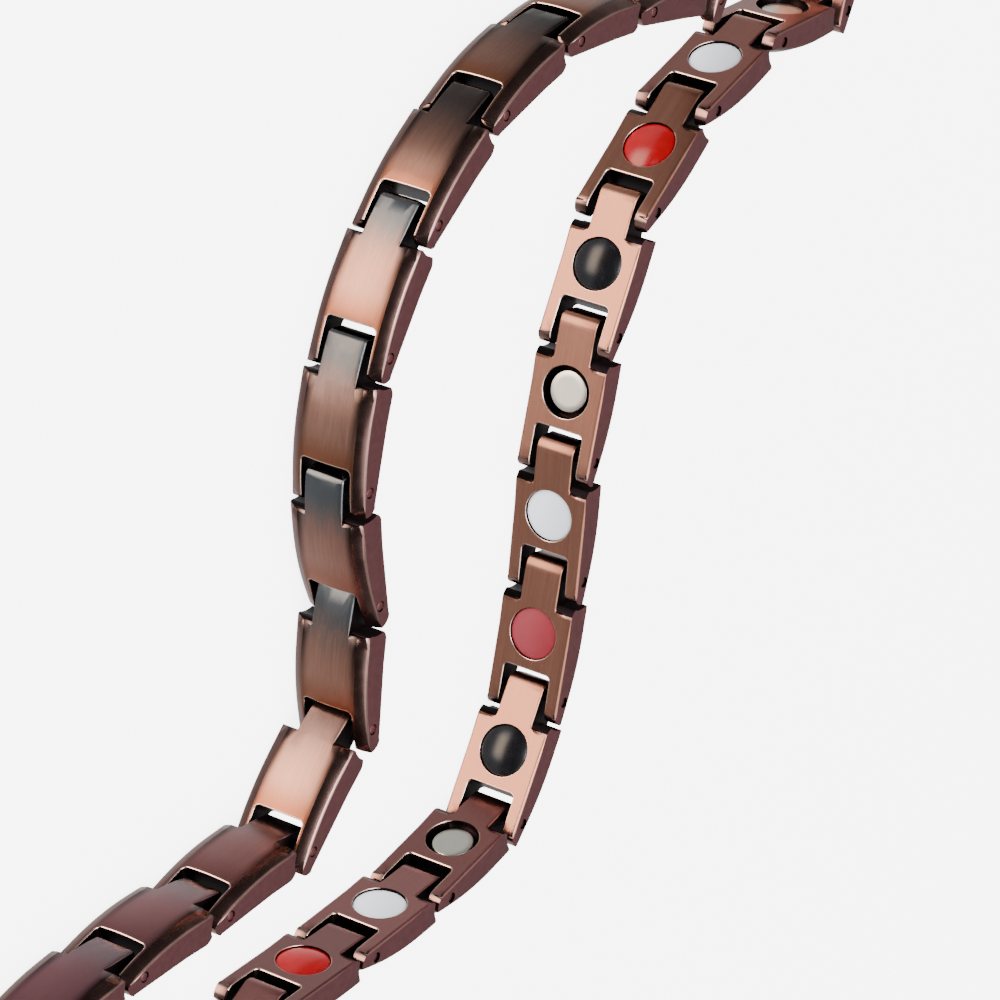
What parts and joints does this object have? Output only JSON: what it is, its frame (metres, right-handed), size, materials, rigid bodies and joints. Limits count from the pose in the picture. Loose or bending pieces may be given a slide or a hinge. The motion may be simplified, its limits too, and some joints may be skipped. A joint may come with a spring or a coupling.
{
  "type": "magnetic bracelet",
  "caption": "Closed link bracelet of arched brushed copper links on hinge pins, with round black, silver, white and red inlays in the flat inner faces, standing on its edge.",
  "frame": {"origin": "centre of the loop's bounding box, at the level of the side faces that it stands on", "axes": "+Z along the axis of the loop, across the links; +X along the longest extent, with the clasp at -X; +Y towards the strand that shows its inner faces from the front"},
  "size_m": [0.0865, 0.0485, 0.0047],
  "materials": {
    "copper": "antique copper plating, brushed lengthwise, with dark recesses and bright edges",
    "pins": "dark copper plating",
    "black_inlay": "glossy black dome",
    "silver_inlay": "satin silver disc",
    "white_inlay": "satin white low dome",
    "red_inlay": "red low dome"
  },
  "bodies": {
    "root": {"link_01": "copper", "link_02": "copper", "link_03": "copper", "link_04": "copper", "link_05": "copper", "link_06": "copper", "link_07": "copper", "link_08": "copper", "link_09": "copper", "link_10": "copper", "link_11": "copper", "link_12": "copper", "link_13": "copper", "link_14": "copper", "link_15": "copper", "link_16": "copper", "link_17": "copper", "link_18": "copper", "link_19": "copper", "link_20": "copper", "link_21": "copper", "link_22": "copper", "link_23": "copper", "link_24": "copper", "link_25": "copper", "link_26": "copper", "link_27": "copper", "link_28": "copper", "link_29": "copper", "turn_link": "copper", "clasp": "copper", "pins": "pins", "black_inlays": "black_inlay", "silver_inlays": "silver_inlay", "white_inlays": "white_inlay", "red_inlays": "red_inlay"}
  },
  "joints": []
}
